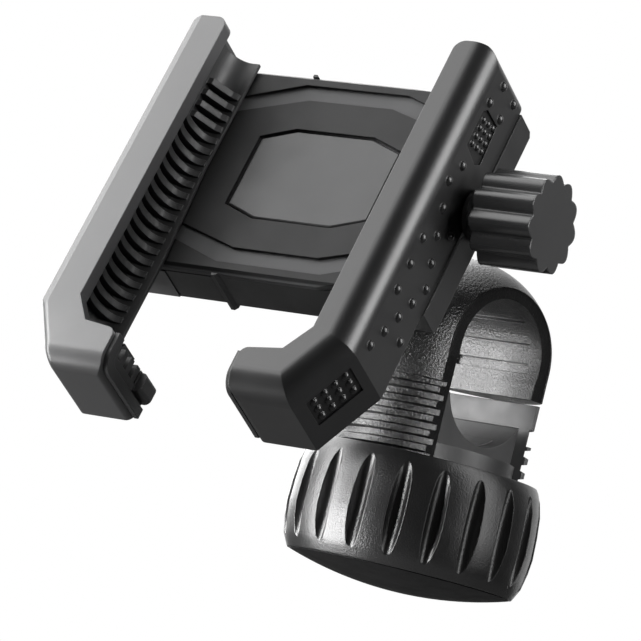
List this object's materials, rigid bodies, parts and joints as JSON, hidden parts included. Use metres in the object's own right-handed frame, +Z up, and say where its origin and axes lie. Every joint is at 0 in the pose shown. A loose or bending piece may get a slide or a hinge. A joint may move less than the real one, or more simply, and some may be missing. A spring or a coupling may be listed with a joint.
{
  "type": "handlebar phone mount",
  "caption": "Phone cradle with two padded jaws, a screw-driven sliding jaw and a knob, on a ball joint carried by a handlebar hoop with a large fluted clamp nut.",
  "frame": {"origin": "on the handlebar's axis in the middle of the clamp hoop", "axes": "+X along the handlebar to the rider's right, +Y forwards away from the rider, +Z up the clamp nut's axis"},
  "size_m": [0.1222, 0.1513, 0.141],
  "materials": {
    "clamp_plastic": "black, coarse moulded grain",
    "nut_plastic": "black, fine moulded grain",
    "inner_plastic": "black",
    "socket_plastic": "black",
    "cradle_plastic": "dark grey, fine grain",
    "left_jaw_plastic": "dark grey, fine grain",
    "right_jaw_plastic": "dark grey, fine grain",
    "knob_plastic": "black, satin",
    "pad_plastic": "dark grey, satin",
    "rubber": "black, matt",
    "steel": "turned and ground",
    "brass": "turned"
  },
  "bodies": {
    "hoop": {"clamp_hoop": "clamp_plastic", "hoop_liner": "rubber", "ball_stud": "steel", "rear_gate": "clamp_plastic", "gate_pin": "steel"},
    "saddle": {"saddle": "inner_plastic", "saddle_pad": "rubber", "thrust_washer": "steel"},
    "clamp_nut": {"clamp_nut": "nut_plastic", "nut_base_cap": "nut_plastic"},
    "ball_liner": {"ball_liner": "inner_plastic"},
    "ball_race": {"ball_race": "steel"},
    "lock_ring": {"lock_ring": "socket_plastic"},
    "housing": {"housing": "cradle_plastic", "ball_socket": "socket_plastic", "socket_screws": "steel", "top_panel": "cradle_plastic", "centre_pad": "pad_plastic", "housing_screws": "steel", "guide_rods": "steel", "screw_bushing": "brass", "right_jaw_shell": "right_jaw_plastic", "right_jaw_liner": "rubber", "right_jaw_inlays": "rubber"},
    "left_jaw": {"left_jaw_shell": "left_jaw_plastic", "left_jaw_liner": "rubber", "left_jaw_inlays": "rubber", "left_jaw_screws": "steel", "jaw_slider": "inner_plastic", "slider_bushes": "brass", "slider_nut": "brass"},
    "knob": {"knob": "knob_plastic", "knob_pin": "steel", "lead_screw": "steel"}
  },
  "joints": [
    {"name": "saddle_lift", "type": "slide", "parent": "hoop", "child": "saddle", "axis": [0, 0, 1], "range_m": [-0.006, 0.008]},
    {"name": "clamp_nut_turn", "type": "hinge", "parent": "saddle", "child": "clamp_nut", "pos_m": [0, 0, -0.05], "axis": [0, 0, 1], "range_deg": [-540, 720]},
    {"name": "ball_spin", "type": "hinge", "parent": "hoop", "child": "ball_liner", "pos_m": [0, -0.0359, 0.0199], "axis": [0, -0.8746, 0.4848], "range_deg": [-180, 180]},
    {"name": "ball_nod", "type": "hinge", "parent": "ball_liner", "child": "ball_race", "pos_m": [0, -0.0359, 0.0199], "axis": [1, 0, 0], "range_deg": [-10, 10]},
    {"name": "ball_roll", "type": "hinge", "parent": "ball_race", "child": "housing", "pos_m": [0, -0.0359, 0.0199], "axis": [0, 0.4848, 0.8746], "range_deg": [-10, 10]},
    {"name": "lock_ring_turn", "type": "hinge", "parent": "housing", "child": "lock_ring", "pos_m": [0, -0.0359, 0.0199], "axis": [0.2099, -0.8809, 0.4242], "range_deg": [-120, 120]},
    {"name": "jaw_slide", "type": "slide", "parent": "housing", "child": "left_jaw", "axis": [-0.968, -0.2481, -0.0363], "range_m": [0, 0.026]},
    {"name": "knob_turn", "type": "hinge", "parent": "housing", "child": "knob", "pos_m": [0.06127, -0.0387, 0.03044], "axis": [0.968, 0.2481, 0.0363], "range_deg": [0, 4680]}
  ],
  "couplings": [
    {"joint": "saddle_lift", "follows": "clamp_nut_turn", "m_per_rad": 0.0006366},
    {"joint": "knob_turn", "follows": "jaw_slide", "rad_per_m": 3141.6}
  ]
}
